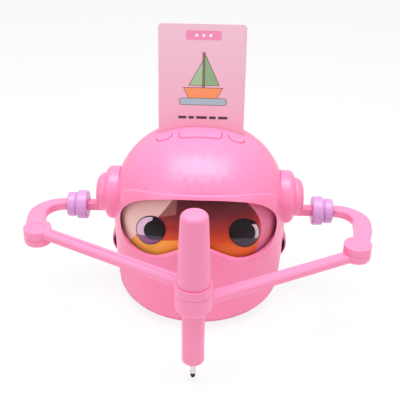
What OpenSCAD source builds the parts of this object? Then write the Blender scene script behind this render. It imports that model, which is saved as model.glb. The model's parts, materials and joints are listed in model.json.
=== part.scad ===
// Desktop drawing robot: a round goggled body with two jointed arms that hold one pen.
// The body stands on the floor plane z = 0 and its axis is the Z axis.
// The front is -Y, the arms reach out along X and the pen stands in front of the body.

/* [Body] */
// Radius of the body at its widest
body_r = 66.3; // [62:0.1:74]
// Height of the widest ring above the floor
body_mid_z = 70.6; // [66:0.1:76]
// Height of the dome above the widest ring
dome_h = 66; // [60:0.5:74]
// Squareness of the dome, 2 is round
dome_power = 2.3; // [2:0.05:2.8]
// How much smaller the body is just above its foot rounding
base_taper = 2.5; // [0:0.1:6]
// Rounding of the lower edge
base_fillet = 13; // [6:0.5:20]
// Wall thickness of the two shells
wall = 2.6; // [2:0.1:3.2]
// Height of the seam between the upper and the lower shell
seam_z = 57; // [50:0.5:58]
// Height of the four feet
foot_h = 1.6; // [1:0.1:3]
// Radius of one foot
foot_r = 6; // [4:0.5:8]
// Distance of the feet from the rounding of the lower edge
foot_inset = 7.8; // [7:0.1:12]
// Radius of the middle foot that hides the cover's screw
mid_foot_r = 4.4; // [3.5:0.1:4.8]

/* [Goggles] */
// How far each side of the goggle opening lies inside the body's side
gog_side = 6.8; // [6:0.1:12]
// Height of the middle line of the goggles
gog_mid_z = 80; // [76:0.5:84]
// Top of the opening on the centre line
gog_top_z = 109; // [104:0.5:114]
// Lowest point of each lens
gog_low_z = 60.3; // [59:0.1:66]
// Distance of the lowest lens point from the side of the opening
gog_low_in = 17.5; // [14:0.5:24]
// Height of the nose bridge
bridge_z = 77; // [70:0.5:82]
// How far the goggle frame stands proud of the body
frame_proud = 1.5; // [0.8:0.1:2.5]
// Width of the frame below and beside the opening
frame_rim = 1.2; // [0.8:0.1:1.6]
// Thickness of the tinted lens
lens_t = 1.4; // [1:0.1:2]
// Gap between the lens and the eye panel
eye_gap = 1.2; // [1:0.1:5]
// Radius of one pupil
pupil_r = 12; // [8:0.25:13]
// Angle of the pupils from straight ahead
pupil_turn = 34.7; // [28:0.1:38]
// Height of the pupils
pupil_z = 78; // [74:0.5:88]

/* [Ears] */
// Radius of the first step of the ear
ear_r = 20.3; // [18:0.1:22]
// Radius of the domed second step
ear_dome_r = 16.2; // [14:0.1:18]
// Radius of the flat at the end of the ear
ear_flat_r = 7; // [5:0.25:9]
// Height of the ear axis
ear_z = 82; // [80:0.5:84]
// How far the first step's face stands out from the body
ear_step_out = 6; // [4:0.1:8]
// How far the ear's end stands out from the body
ear_end_out = 14; // [12:0.1:17]
// Length of the coloured side pocket under the ear
cup_len = 24; // [18:0.5:30]
// Height of the side pocket
cup_h = 15; // [10:0.5:17]
// Middle height of the side pocket
cup_z = 47; // [44:0.5:48]
// Depth of the side pocket
cup_deep = 5.2; // [3:0.1:5.4]

/* [Arms] */
// How far the shoulder pivots lie inside the body's side
shoulder_in = 14.3; // [12:0.1:16]
// How far the elbows stand out from the ends of the ears when the arms rest
elbow_out = 34.7; // [30:0.1:40]
// How far the elbows stand in front of the shoulders
elbow_y = 51.6; // [46:0.1:56]
// How far the pen stands in front of the body
pen_out = 48.4; // [44:0.1:54]
// Middle height of the upper arms
arm_z = 70.2; // [69:0.1:71]
// Thickness of the upper arms
arm_t = 5.6; // [4.8:0.1:6]
// Width of the upper arm where it leaves the ear
stub_w = 7.4; // [6:0.1:8.4]
// Width of the upper arm after its bend
arm_w = 12; // [10:0.1:13]
// Radius of the elbow discs
elbow_r = 10; // [9:0.1:12]
// Thickness of the forearms
fore_t = 6.4; // [5.6:0.1:7]
// Width of the forearms
fore_w = 8.8; // [7:0.1:10]
// Bevel along the forearm edges
fore_bevel = 1.2; // [0.6:0.1:1.8]
// Radius of the elbow pivot pin
pin_r = 3; // [2.5:0.1:3.5]
// Radius of the elbow pivot's cap
cap_r = 5.4; // [4.6:0.1:6.5]
// Largest swing of the shoulders in degrees, for the ear slots
swing = 12; // [8:1:13]

/* [Collars] */
// Free length of the arm between the ear and its collar
collar_gap = 6.5; // [5.5:0.1:8]
// Radius of the wide collar ring
collar_r = 11; // [9.5:0.1:12]
// Length of the wide collar ring
collar_len = 8.6; // [6:0.1:10]
// Radius of the narrow collar ring
collar_small_r = 9.4; // [8:0.1:10.5]
// Length of the narrow collar ring
collar_small_len = 7; // [5:0.1:8]

/* [Pen] */
// Outer radius of the pen ring and of the pen cup
ring_r = 12.3; // [11.6:0.1:13.5]
// Height of the pen cup below the ring
cup_depth = 14.8; // [13:0.1:17]
// Radius of the pen holder's barrel
barrel_r = 7.7; // [7:0.1:8]
// Free space round the barrel in the cup, the loop's open pivot
open_pivot_gap = 1.5; // [1.2:0.1:1.8]
// Radius of the pen cap where it stands on the ring
cap_base_r = 11.1; // [10.4:0.1:11.5]
// Radius of the pen cap near its top
cap_top_r = 8.7; // [8.5:0.1:9.6]
// Height of the pen cap's top above the floor
cap_top_z = 131; // [122:0.5:138]
// Height of the pen tip above the floor
tip_z = 0.4; // [0.3:0.1:1]
// Radius of the white nib
nib_r = 2.1; // [1.8:0.1:2.6]

/* [Card and buttons] */
// Width of the flash card
card_w = 63; // [56:1:66]
// Height of the flash card
card_h = 88; // [80:1:94]
// Thickness of the flash card
card_t = 0.8; // [0.5:0.1:1]
// Corner radius of the flash card
card_corner = 3.2; // [2:0.1:5]
// Depth of the card below the top of the dome
card_sunk = 12.6; // [10:0.1:14]
// Backward lean of the card in degrees
card_lean = 5.7; // [3:0.1:7]
// How far the card slot lies behind the body axis
card_y = 3.9; // [3.4:0.1:5]
// Width of the centre button
button_w = 31; // [26:0.5:34]
// Depth of the centre button
button_d = 14.6; // [12:0.1:15]
// Radius of the two side buttons
side_button_r = 5.6; // [4:0.1:6]
// Distance of the side buttons from the centre line
side_button_x = 26.5; // [25.5:0.1:28]
// Travel of the buttons
button_travel = 1; // [0.6:0.1:1.4]

/* [Drive] */
// Module of the shoulder gears
gear_m = 0.6; // [0.5:0.05:0.62]
// Teeth of the gear on the shoulder shaft
gear_teeth = 34; // [30:1:34]
// Teeth of the motor pinion
pinion_teeth = 12; // [10:1:14]
// Height of the gears
gear_h = 4.4; // [3:0.1:4.6]
// Radius of the shoulder shaft
shaft_r = 3; // [2.5:0.1:3.4]
// Radius of the motor
motor_r = 10; // [8:0.1:11]
// Length of the motor
motor_len = 24; // [18:0.5:30]

/* [Hidden] */
// Fineness of the round shapes
$fn = 48;
// Running clearance of pins and shafts
run = 0.05;
// Gap between flat faces that slide on each other
slide = 0.25;
// Gap between curved shells that lie in each other
seat = 0.12;
// Colours
pink = [1, 0.55, 0.75];
lilac = [0.82, 0.63, 0.83];
purple = [0.55, 0.22, 0.45];
// Wall of the side pocket's lining
cup_wall = 1.2;
// Body outline values
shell_z = foot_h;
dome_top = body_mid_z + dome_h;
base_r = body_r - base_taper;
foot_ring_r = base_r - base_fillet - foot_inset;
gog_half_w = body_r - gog_side;
gog_low_x = gog_half_w - gog_low_in;
// Places along X that follow the body
ear_step_x = body_r + ear_step_out;
ear_end_x = body_r + ear_end_out;
shoulder_x = body_r - shoulder_in;
elbow_x = ear_end_x + elbow_out;
collar_x = ear_end_x + collar_gap;
pen_y = body_r + pen_out;
// Levels of the arm stack
arm_top = arm_z + arm_t / 2;
arm_low = arm_z - arm_t / 2;
left_low = arm_top + slide;
left_top = left_low + fore_t;
right_top = arm_low - slide;
right_low = right_top - fore_t;
cup_low = arm_top - cup_depth;
fore_len = norm([elbow_x, pen_y - elbow_y]);
fore_turn = atan2(pen_y - elbow_y, elbow_x);
// Drive levels
chassis_t = 3;
chassis_top = seam_z + 0.5;
gear_z = chassis_top + 1;
gear_pitch = gear_m * gear_teeth / 2;
pinion_pitch = gear_m * pinion_teeth / 2;
gear_gap = 0.3;
// Plastic of the arm above the end of its shaft
shaft_cover = 1.5;
motor_x = shoulder_x - gear_pitch - pinion_pitch - gear_gap;
motor_shaft_r = 1;
// Main board under the chassis
board_z = 36;
board_w = 46;
board_d = 36;
// Boss below the chassis that carries the shoulder shaft
boss_r = shaft_r + 2.6;
boss_len = 9;
post_in = 22.3;
post_x = body_r - post_in;
post_y = 19;
post_r = 3.4;
post_foot_r = post_r + 1.4;
post_foot_h = 9;
screw_len = 7;
screw_head_h = 1.8;
screw_r = 1.3;
screw_head_r = 2.6;
floor_t = 2.4;
// Bottom opening and battery door
cover_gap = 0.3;
cover_r = foot_ring_r - foot_r - 1;
cover_rim_w = 3;
cover_lip_w = 5;
door_w = 32;
door_d = 20;
door_t = 1.8;
door_gap = 0.25;
// Pen levels
neck_r = cap_top_r + 0.6;
barrel_bottom = 16.8;
barrel_end = 13;
tip_len = 4.4;
marker_r = 5.8;
holder_wall = 1.2;

// Radius of the body's outside at height z, made smaller by inset
function dome_r(z, inset = 0) = let(
    up = min(1, max(0, (z - body_mid_z) / (dome_h - inset))))
  (body_r - inset) * pow(1 - pow(up, dome_power), 1 / dome_power);
function skirt_r(z, inset = 0) = let(
    down = (body_mid_z - z) / (body_mid_z - shell_z - base_fillet))
  body_r - inset - (body_r - base_r) * pow(down, 1.9);
function skin_r(z, inset = 0) = z > body_mid_z ? dome_r(z, inset) : skirt_r(z, inset);

// Points of the dome from height z up to the axis
function dome_points(z, inset = 0) = let(
    first = z > body_mid_z ? asin(pow((z - body_mid_z) / (dome_h - inset), dome_power / 2)) : 0)
  [for (i = [0 : 16]) let(a = first + (90 - first) * i / 16)
    [max(0, (body_r - inset) * pow(cos(a), 2 / dome_power)),
     body_mid_z + (dome_h - inset) * pow(sin(a), 2 / dome_power)]];
// Points of the body from height z to the widest ring
function skirt_points(z, inset = 0) =
  [for (i = [0 : 7]) let(h = z + (body_mid_z - z) * i / 8) [skirt_r(h, inset), h]];
// Points of the rounded foot edge
function foot_points(inset = 0) =
  [for (i = [0 : 6]) let(a = -90 + 90 * i / 6)
    [base_r - base_fillet + (base_fillet - inset) * cos(a),
     shell_z + base_fillet + (base_fillet - inset) * sin(a)]];

// Solid of the body's outside, made smaller by inset
module body_solid(inset = 0) {
  rotate_extrude($fn = 96)
    polygon(concat([[0, shell_z + inset]], foot_points(inset),
      skirt_points(shell_z + base_fillet + 1, inset), dome_points(body_mid_z, inset)));
}

// Curved band between two insets and two heights
module skin_band(outer, inner, low, high) {
  steps = 14;
  hs = [for (i = [0 : steps]) low + (high - low) * i / steps];
  rotate_extrude($fn = 96)
    polygon(concat([for (h = hs) [skin_r(h, outer), h]],
      [for (i = [0 : steps]) [skin_r(hs[steps - i], inner), hs[steps - i]]]));
}

// Half outline of the goggles from the bridge round to the top, grown by rim at the
// sides and below and by brow above
function goggle_half(rim = 0, brow = 0) = concat(
  [for (i = [0 : 6]) let(x = gog_low_x * i / 7)
    [x, gog_low_z - rim + (bridge_z - gog_low_z) * (1 + cos(180 * pow(i / 7, 0.9))) / 2]],
  [for (i = [0 : 5]) let(a = -90 + 18 * i)
    [gog_low_x + (gog_half_w + rim - gog_low_x) * cos(a),
     gog_mid_z + (gog_mid_z - gog_low_z + rim) * sin(a)]],
  [for (i = [1 : 5]) let(a = 15 * i, w = gog_half_w + rim - corner_x)
    [corner_x + w * pow(cos(a), 0.9), gog_mid_z + (top_at(corner_x, brow) - gog_mid_z) * pow(sin(a), 0.9)]],
  [for (i = [0 : 4]) let(x = corner_x * (1 - i / 4)) [x, top_at(x, brow)]]);
corner_x = gog_half_w - 21.5;
function top_at(x, brow) = gog_top_z + brow * (0.45 + x / 60) - 0.0049 * x * x;

module goggle_outline(rim = 0, brow = 0) {
  half = goggle_half(rim, brow);
  n = len(half);
  polygon(concat(half, [for (i = [1 : n - 2]) [-half[n - 1 - i][0], half[n - 1 - i][1]]]));
}

// Goggle outline driven through the front of the body
goggle_start = 20;
module goggle_block(rim = 0, brow = 0) {
  rotate([90, 0, 0])
    translate([0, 0, goggle_start])
      linear_extrude(body_r)
        goggle_outline(rim, brow);
}

// Rounded rectangle in the plane
module round_rect(w, h, r) {
  translate([-w / 2 + r, -h / 2])
    square([w - 2 * r, h]);
  translate([-w / 2, -h / 2 + r])
    square([w, h - 2 * r]);
  for (x = [-1, 1], y = [-1, 1])
    translate([x * (w / 2 - r), y * (h / 2 - r)])
      circle(r, $fn = 32);
}

// Space that the arm stub sweeps through the ear and the shell, on the +X side
slot_side = 0.8;
slot_over = 0.6;
slot_half = stub_w / 2 + slot_side;
module stub_sweep() {
  reach = collar_x - shoulder_x;
  side = reach * sin(swing + 1) + slot_half;
  translate([shoulder_x, 0, arm_low - slot_over])
    linear_extrude(arm_t + 2 * slot_over)
      polygon([[0, -slot_half], [0, slot_half], [reach, side], [reach, -side]]);
}

// The card's own frame: x across, y up the card, z out of its face
module on_card() {
  translate([0, card_y, dome_top - card_sunk])
    rotate([90 - card_lean, 0, 0])
      children();
}

card_side = 0.8;
card_face = 0.6;
button_gap = 0.4;
button_deep = 10;
button_corner = 4;
// Rear edges of the buttons in front of the card slot
button_back = 2.6;
side_button_back = 4.4;
module button_outline(grow = 0) {
  translate([0, card_y - button_back - button_d / 2])
    round_rect(button_w + 2 * grow, button_d + 2 * grow, button_corner + grow);
}

module side_button_outline(side, grow = 0) {
  translate([side * side_button_x, card_y - side_button_back - side_button_r])
    circle(side_button_r + grow);
}

module pocket_shape(grow = 0, depth = cup_deep) {
  translate([body_r - depth, 0, cup_z])
    rotate([90, 0, 90])
      linear_extrude(2 * cup_deep + cup_wall)
        round_rect(cup_len + 2 * grow, cup_h + 2 * grow, cup_h / 2 + grow - 0.05);
}

module upper_shell() {
  color(pink)
  difference() {
    rotate_extrude($fn = 96)
      polygon(concat([for (i = [0 : 4]) let(h = seam_z + (body_mid_z - seam_z) * i / 5)
          [skirt_r(h), h]],
        dome_points(body_mid_z),
        [for (i = [0 : 16]) dome_points(body_mid_z, wall)[16 - i]],
        [for (i = [0 : 4]) let(h = body_mid_z - (body_mid_z - seam_z) * (i + 1) / 5)
          [skirt_r(h, wall), h]]));
    goggle_block(frame_rim + seat, 3 + seat);
    for (side = [0, 1])
      mirror([side, 0, 0])
        stub_sweep();
    on_card()
      translate([-card_w / 2 - card_side, 0, -card_t / 2 - card_face])
        cube([card_w + 2 * card_side, 2 * card_sunk, card_t + 2 * card_face]);
    translate([0, 0, dome_top - button_deep - 2])
      linear_extrude(2 * button_deep) {
        button_outline(button_gap);
        side_button_outline(-1, button_gap);
        side_button_outline(1, button_gap);
      }
  }
}

module lower_shell() {
  color(pink)
  difference() {
    union() {
      rotate_extrude($fn = 96)
        polygon(concat([[cover_r + cover_gap, shell_z], [base_r - base_fillet, shell_z]],
          [for (i = [1 : 6]) foot_points()[i]],
          [for (i = [0 : 6]) let(h = low_rise + (seam_z - low_rise) * (i + 1) / 7) [skirt_r(h), h]],
          [for (i = [0 : 6]) let(h = seam_z - (seam_z - low_rise) * i / 7) [skirt_r(h, wall), h]],
          [for (i = [0 : 5]) foot_points(wall)[6 - i]],
          [[base_r - base_fillet, shell_z + wall], [cover_r + cover_gap, shell_z + wall]]));
      for (x = [-post_x, post_x], y = [-post_y, post_y])
        translate([x, y, shell_z + wall - 0.2])
          cylinder(chassis_top - chassis_t - shell_z - wall + 0.2, post_r, post_r);
      for (x = [-post_x, post_x], y = [-post_y, post_y])
        translate([x, y, shell_z + wall - 0.2])
          cylinder(post_foot_h, post_foot_r, post_foot_r);
    }
    for (side = [0, 1])
      mirror([side, 0, 0])
        pocket_shape(seat + cup_wall, cup_deep + cup_wall + seat);
    for (x = [-post_x, post_x], y = [-post_y, post_y])
      translate([x, y, chassis_top - chassis_t - screw_len - 2])
        cylinder(screw_len + 3, screw_r + run, screw_r + run);
    // Charge socket and switch slot in the back
    translate([0, skin_r(port_z) - port_len - 1, port_z])
      rotate([-90, 0, 0])
        linear_extrude(port_len + 5)
          round_rect(port_w + 2 * port_gap, port_h + 2 * port_gap, port_h / 2 - 0.05);
    translate([switch_x - switch_slot_w / 2, switch_y - switch_plate_t, port_z - switch_h / 2 - port_gap])
      cube([switch_slot_w, body_r, switch_h + 2 * port_gap]);
  }
}
low_rise = shell_z + base_fillet;
port_z = 24;
port_w = 9;
port_h = 3.4;
port_len = 8;
port_wall = 0.4;
port_gap = 0.2;
switch_x = 18;
switch_w = 6;
switch_knob_w = 4;
switch_h = 4;
switch_travel = 4;
switch_slot_w = switch_knob_w + switch_travel + 3;
switch_plate_t = 2.2;
switch_knob_len = 6;

module goggle_frame() {
  color(pink)
  difference() {
    intersection() {
      skin_band(-frame_proud, wall + 0.6, gog_low_z - frame_rim - 1, gog_top_z + 5);
      goggle_block(frame_rim, 3);
    }
    goggle_block();
  }
}

module visor_lens() {
  color([0.55, 0.12, 0.12, 0.6])
  intersection() {
    skin_band(wall + 0.6 + seat, wall + 0.6 + seat + lens_t, gog_low_z - 3, gog_top_z + 3);
    goggle_block(1, 1);
  }
}

eye_inset = wall + 0.6 + seat + lens_t + eye_gap;
pupil_t = 0.6;
module eye_panel() {
  color([1, 0.6, 0.2])
  intersection() {
    difference() {
      skin_band(eye_inset - eye_gap + 0.15, eye_inset + 1.6, gog_low_z - 2, gog_top_z + 1);
      intersection() {
        skin_band(eye_inset - eye_gap - 1, eye_inset, gog_low_z - 3, gog_top_z + 2);
        goggle_block(-0.9, -0.9);
      }
    }
    goggle_block(0.4, 0.4);
  }
}

module pupil(side) {
  color([0.08, 0.06, 0.1])
  intersection() {
    skin_band(eye_inset - pupil_t, eye_inset - 0.05, gog_low_z, gog_top_z);
    rotate([0, 0, side * pupil_turn])
      translate([0, 0, pupil_z])
        rotate([90, 0, 0])
          cylinder(body_r, pupil_r, pupil_r);
  }
}

// Ear on the +X side, with the slot that the arm swings in
module ear() {
  color(pink)
  difference() {
    translate([0, 0, ear_z])
      rotate([0, 90, 0])
        rotate_extrude()
          polygon(concat([[0, 50], [ear_r, 50], [ear_r, ear_step_x - 1.2],
            [ear_r - 0.35, ear_step_x - 0.35], [ear_r - 1.2, ear_step_x],
            [ear_dome_r, ear_step_x]],
            [for (i = [1 : 6]) let(a = 15 * i)
              [ear_flat_r + (ear_dome_r - ear_flat_r) * cos(a),
               ear_step_x + 1 + (ear_end_x - ear_step_x - 1) * sin(a)]],
            [[0, ear_end_x]]));
    body_solid(-seat);
    stub_sweep();
  }
}

// Coloured lining of the side pocket on the +X side
module side_cup() {
  color(purple)
  difference() {
    intersection() {
      pocket_shape(cup_wall, cup_deep + cup_wall);
      body_solid(0);
    }
    pocket_shape(0, cup_deep);
  }
}

module bottom_cover() {
  color(pink)
  difference() {
    union() {
      translate([0, 0, shell_z])
        cylinder(wall, cover_r, cover_r, $fn = 96);
      // Lip that lies on the inside of the shell
      translate([0, 0, shell_z + wall + 0.1])
        difference() {
          cylinder(floor_t, cover_r + cover_lip_w, cover_r + cover_lip_w, $fn = 96);
          translate([0, 0, -1])
            cylinder(floor_t + 2, cover_r - cover_rim_w, cover_r - cover_rim_w, $fn = 96);
        }
      translate([0, 0, shell_z])
        difference() {
          cylinder(wall + floor_t + 0.1, cover_r, cover_r, $fn = 96);
          translate([0, 0, wall - 0.5])
            cylinder(floor_t + 5, cover_r - cover_rim_w, cover_r - cover_rim_w, $fn = 96);
        }
    }
    translate([0, door_y, shell_z - 1])
      linear_extrude(wall + 2)
        round_rect(door_w + 2 * door_gap, door_d + 2 * door_gap, 3);
    // Sound holes under the speaker
    for (ring = [0 : 2])
      for (k = [0 : max(1, ring * 6) - 1])
        translate([hole_pitch * ring * cos(360 * k / max(1, ring * 6)),
          speaker_y + hole_pitch * ring * sin(360 * k / max(1, ring * 6)), shell_z - 1])
          cylinder(wall + 2, hole_r, hole_r, $fn = 16);
  }
}
// The door starts behind the middle foot and the speaker lies in front of it
door_y = mid_foot_r + 3.6 + door_d / 2;
speaker_r = 14;
speaker_h = 10;
speaker_y = -speaker_r - 1.6;
hole_pitch = 4.6;
hole_r = 1.2;

module battery_door() {
  color(pink)
  union() {
    translate([0, door_y, shell_z])
      linear_extrude(door_t)
        round_rect(door_w, door_d, 2.8);
    // Latch rib and finger ridges
    for (k = [-2 : 2])
      translate([k * 4, door_y - door_d / 2 + 5, shell_z - 0.35])
        cube([2, 5, 1], center = true);
    translate([-6, door_y + door_d / 2 - 2.4, shell_z + door_t - 0.1])
      cube([12, 2, wall - door_t]);
  }
}

foot_edge = 0.6;
module foot_pad(r) {
  rotate_extrude()
    polygon([[0, 0], [r - foot_edge, 0], [r, foot_edge], [r, foot_h - 0.05], [0, foot_h - 0.05]]);
}

// Four outer feet and the middle one
module foot_pads() {
  color([0.25, 0.25, 0.27])
  union() {
    foot_pad(mid_foot_r);
    for (a = [45 : 90 : 315])
      rotate([0, 0, a])
        translate([foot_ring_r, 0, 0])
          foot_pad(foot_r);
  }
}

module shell_screws() {
  color([0.75, 0.76, 0.78])
  for (x = [-post_x, post_x], y = [-post_y, post_y])
    translate([x, y, 0]) {
      translate([0, 0, chassis_top - chassis_t - screw_len])
        cylinder(screw_len + chassis_t + 0.1, screw_r, screw_r);
      translate([0, 0, chassis_top + 0.1])
        cylinder(screw_head_h, screw_head_r, screw_head_r * 0.8);
    }
}

module main_board() {
  color([0.1, 0.4, 0.25])
  translate([0, 0, board_z]) {
    translate([-board_w / 2, -board_d / 2, 0])
      cube([board_w, board_d, board_t]);
    // Processor, driver chip and socket under the board
    translate([-6, -6, -1.4])
      cube([12, 12, 1.5]);
    translate([9, -3, -2])
      cube([9, 6, 2.1]);
    translate([-20, 4, -4])
      cube([8, 8, 4.1]);
  }
}

module battery_pack() {
  color([0.3, 0.45, 0.75])
  translate([-battery_w / 2, door_y - battery_d / 2, shell_z + wall + 0.6])
    cube([battery_w, battery_d, battery_h]);
}
battery_w = 30;
battery_d = 22;
battery_h = 10;

module speaker() {
  color([0.2, 0.2, 0.22])
  translate([0, speaker_y, shell_z + wall + 0.1])
    rotate_extrude()
      polygon([[0, 1], [speaker_r - 5, 1], [speaker_r - 2, 0], [speaker_r, 0], [speaker_r, 3.2],
        [speaker_r - 3, 3.4], [speaker_r - 5.5, 7], [speaker_r - 5.5, speaker_h], [0, speaker_h]]);
}

module card_chute() {
  color([0.95, 0.5, 0.7])
  difference() {
    intersection() {
      on_card()
        translate([-card_w / 2 - chute_wall, -chute_wall, -chute_wall - 1])
          cube([card_w + 2 * chute_wall, card_sunk + 2 * chute_wall, 2 * chute_wall + 2]);
      body_solid(wall + seat);
      translate([-body_r, card_y - button_back + button_gap, 0])
        cube([2 * body_r, body_r, dome_top]);
    }
    on_card()
      translate([-card_w / 2 - 0.5, -0.1, -card_t / 2 - 0.35])
        cube([card_w + 1, 2 * card_sunk, card_t + 0.7]);
  }
}

chute_wall = 3;
board_t = 1.6;
reader_h = 14;

module card_reader() {
  color([0.1, 0.4, 0.25])
  on_card() {
    translate([-card_w / 2, -chute_wall - reader_h - 0.2, -board_t / 2])
      cube([card_w, reader_h, board_t]);
    translate([-10, -chute_wall - 10, board_t / 2])
      cube([20, 5, 2.4]);
  }
}

module chassis_outline() {
  intersection() {
    circle(body_r - cup_deep - cup_wall - 1.2, $fn = 96);
    square([2 * body_r, 2 * post_y + 10], center = true);
  }
}

// Plate that carries both motors and both shoulder shafts
module arm_chassis() {
  color([0.9, 0.9, 0.92])
  difference() {
    union() {
      translate([0, 0, chassis_top - chassis_t])
        linear_extrude(chassis_t)
          chassis_outline();
      for (side = [-1, 1])
        translate([side * shoulder_x, 0, chassis_top - boss_len])
          cylinder(boss_len, boss_r, boss_r);
      // Posts that carry the main board
      for (x = [-1, 1], y = [-1, 1])
        translate([x * (board_w / 2 - 3.5), y * (board_d / 2 - 2.5), board_z + board_t + 0.1])
          cylinder(chassis_top - chassis_t - board_z - board_t + 0.1, board_post_r, board_post_r);
    }
    for (side = [-1, 1]) {
      translate([side * shoulder_x, 0, chassis_top - boss_len - 1])
        cylinder(boss_len + 2, shaft_r + run, shaft_r + run);
      translate([side * motor_x, 0, chassis_top - chassis_t - 1])
        cylinder(chassis_t + 2, pinion_pitch + 0.8, pinion_pitch + 0.8);
    }
    for (x = [-post_x, post_x], y = [-post_y, post_y])
      translate([x, y, chassis_top - chassis_t - 1])
        cylinder(chassis_t + 2, screw_r + run, screw_r + run);
    // Cable window in the middle of the plate
    translate([0, 0, chassis_top - chassis_t - 1])
      linear_extrude(chassis_t + 2)
        round_rect(30, 26, 5);
  }
}

board_post_r = 2.2;
motor_top = chassis_top - chassis_t - 0.1;
motor_bore = 12;
motor_edge = 1;
module motor(side) {
  color([0.75, 0.76, 0.78])
  translate([side * motor_x, 0, 0])
    difference() {
      rotate_extrude()
        polygon([[0, motor_top - motor_len], [motor_r - motor_edge, motor_top - motor_len],
          [motor_r, motor_top - motor_len + motor_edge], [motor_r, motor_top - motor_edge],
          [motor_r - motor_edge, motor_top], [0, motor_top]]);
      translate([0, 0, motor_top - motor_bore])
        cylinder(motor_bore + 1, motor_shaft_r + run, motor_shaft_r + run);
      // Side that clears the shaft boss
      translate([side * (shoulder_x - motor_x), 0, motor_top - boss_len - 3])
        cylinder(boss_len + 10, boss_r + 0.4, boss_r + 0.4);
    }
}

module charge_port() {
  color([0.6, 0.6, 0.62])
  translate([0, skin_r(port_z) - port_len - 0.2, port_z])
    rotate([-90, 0, 0])
      difference() {
        linear_extrude(port_len)
          round_rect(port_w, port_h, port_h / 2 - 0.05);
        translate([0, 0, 1])
          linear_extrude(port_len)
            round_rect(port_w - 2 * port_wall, port_h - 2 * port_wall, port_h / 2 - port_wall - 0.05);
        translate([-port_w, port_h / 2 - 0.2, -1])
          cube([2 * port_w, 3, 0.5]);
      }
}

module power_switch() {
  color([0.9, 0.9, 0.92])
  translate([switch_x - switch_travel / 2, 0, port_z]) {
    translate([0, switch_y, 0])
      cube([switch_knob_w, switch_knob_len, switch_h], center = true);
    translate([0, switch_y - (switch_knob_len + switch_plate_t) / 2, 0])
      cube([switch_w, switch_plate_t, switch_h + 2], center = true);
  }
}
switch_y = sqrt(pow(skin_r(port_z), 2) - pow(switch_x + switch_w, 2)) - 1.6;

// Button cap that follows the dome, with a skirt that keeps it in
module button_cap() {
  color(pink)
  intersection() {
    translate([0, 0, dome_top - button_deep])
      linear_extrude(2 * button_deep)
        children(0);
    body_solid(-button_proud);
  }
}
button_proud = 0.7;

module button_center() {
  button_cap()
    button_outline(0);
}

module side_button(side) {
  button_cap()
    side_button_outline(side, 0);
}

module button_board() {
  color([0.1, 0.4, 0.25])
  translate([-side_button_x - side_button_r, card_y - button_back - button_d,
      dome_top - button_deep - button_travel - board_t - 0.4])
    cube([2 * (side_button_x + side_button_r), button_d - 2, board_t]);
}

// Involute flank point of a gear with base radius rb at roll angle t
function flank(rb, t) = [rb * (cos(t) + t * PI / 180 * sin(t)), rb * (sin(t) - t * PI / 180 * cos(t))];
function roll_to(rb, r) = sqrt(max(0, pow(r / rb, 2) - 1)) * 180 / PI;
function spin(p, a) = [p[0] * cos(a) - p[1] * sin(a), p[0] * sin(a) + p[1] * cos(a)];

// Spur gear outline with involute flanks
module gear_outline(m, teeth) {
  pitch = m * teeth / 2;
  rb = pitch * cos(20);
  tip = pitch + 0.85 * m;
  root = pitch - 1.25 * m;
  // Half of a tooth's angle at the pitch circle, thinned for backlash
  half = 90 / teeth * 0.88;
  at_pitch = roll_to(rb, pitch);
  lead = atan2(flank(rb, at_pitch)[1], flank(rb, at_pitch)[0]);
  pts = [for (k = [0 : teeth - 1]) let(base = 360 * k / teeth)
    each concat([spin([root, 0], base - half - lead)],
      [for (i = [0 : 3]) let(t = roll_to(rb, rb + (tip - rb) * i / 3))
        spin(flank(rb, t), base - half - lead)],
      [for (i = [0 : 3]) let(t = roll_to(rb, rb + (tip - rb) * (3 - i) / 3), p = flank(rb, t))
        spin([p[0], -p[1]], base + half + lead)],
      [spin([root, 0], base + half + lead)])];
  polygon(pts);
}

module drive_gear(side) {
  color([0.95, 0.95, 0.9])
  translate([side * shoulder_x, 0, 0])
    union() {
      translate([0, 0, gear_z])
        linear_extrude(gear_h)
          gear_outline(gear_m, gear_teeth);
      translate([0, 0, chassis_top - boss_len])
        cylinder(arm_top - shaft_cover - chassis_top + boss_len, shaft_r, shaft_r);
    }
}

module motor_pinion(side) {
  color([0.85, 0.7, 0.3])
  translate([side * motor_x, 0, 0])
    union() {
      translate([0, 0, gear_z])
        linear_extrude(gear_h)
          rotate([0, 0, pinion_phase])
            gear_outline(gear_m, pinion_teeth);
      translate([0, 0, motor_top - motor_bore + 0.5])
        cylinder(gear_z - motor_top + motor_bore - 0.4, motor_shaft_r, motor_shaft_r);
    }
}
// The pinion's tooth gap faces a tooth of the drive gear, which lies on the X axis
pinion_phase = 180 / pinion_teeth;

// Plan outline of the right upper arm, from the shoulder to the elbow
bend_in = 11;
bend_x = elbow_x - bend_in;
hub_wall = 4.4;
outer_r = elbow_x + elbow_r + 4 - bend_x;
inner_r = outer_r - arm_w;
bend_y = stub_w / 2 + 0.3 - outer_r;
inner_y = -stub_w / 2 - 0.8 - inner_r;
module arm_outline() {
  polygon(concat(
    [[shoulder_x, -stub_w / 2], [bend_x, -stub_w / 2 - 0.5]],
    [for (i = [0 : 8]) let(a = 90 - 90 * i / 8)
      [bend_x - 0.5 + inner_r * cos(a), inner_y + inner_r * sin(a)]],
    [[elbow_x - 1, -elbow_y + elbow_r - 0.6], [elbow_x, -elbow_y],
     [elbow_x + elbow_r - 0.8, -elbow_y + 4], [elbow_x + elbow_r + 3, -elbow_y + elbow_r + 8]],
    [for (i = [0 : 8]) let(a = 90 * i / 8)
      [bend_x + outer_r * cos(a), bend_y + outer_r * sin(a)]],
    [[shoulder_x, stub_w / 2]]));
}

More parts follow.
